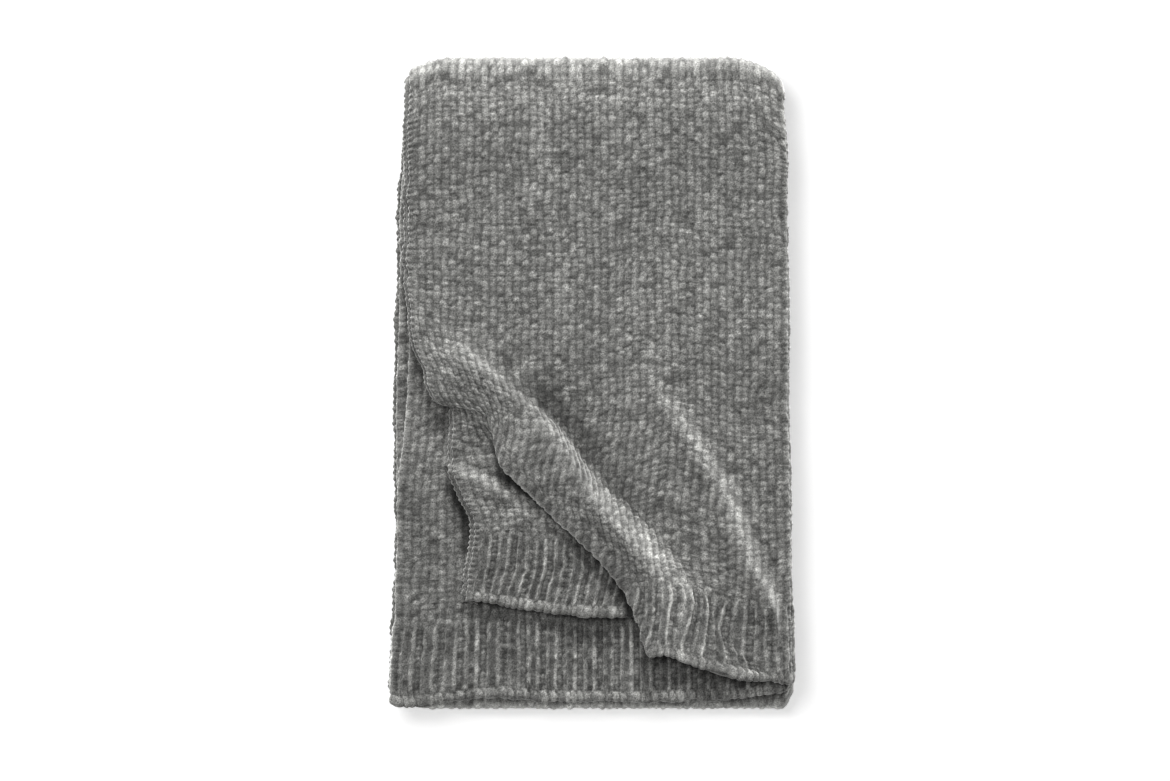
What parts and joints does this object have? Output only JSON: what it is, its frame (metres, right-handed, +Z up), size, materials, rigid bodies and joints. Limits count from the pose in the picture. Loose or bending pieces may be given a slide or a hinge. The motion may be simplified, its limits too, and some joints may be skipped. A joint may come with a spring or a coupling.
{
  "type": "folded chenille bedspread",
  "caption": "Chenille knit bedspread folded into a flat rectangular pile, ribbed at its hem, with the near left corner drawn back into one slanting pleat.",
  "frame": {"origin": "centre of the pile's footprint, on the surface it lies on", "axes": "+X across the pile to the right, +Y along the pile from the ribbed hem to the far fold, +Z up"},
  "size_m": [0.328, 0.5304, 0.0714],
  "materials": {
    "chenille": "velvety chenille knit, neutral grey"
  },
  "bodies": {
    "root": {"bedspread": "chenille"}
  },
  "joints": []
}
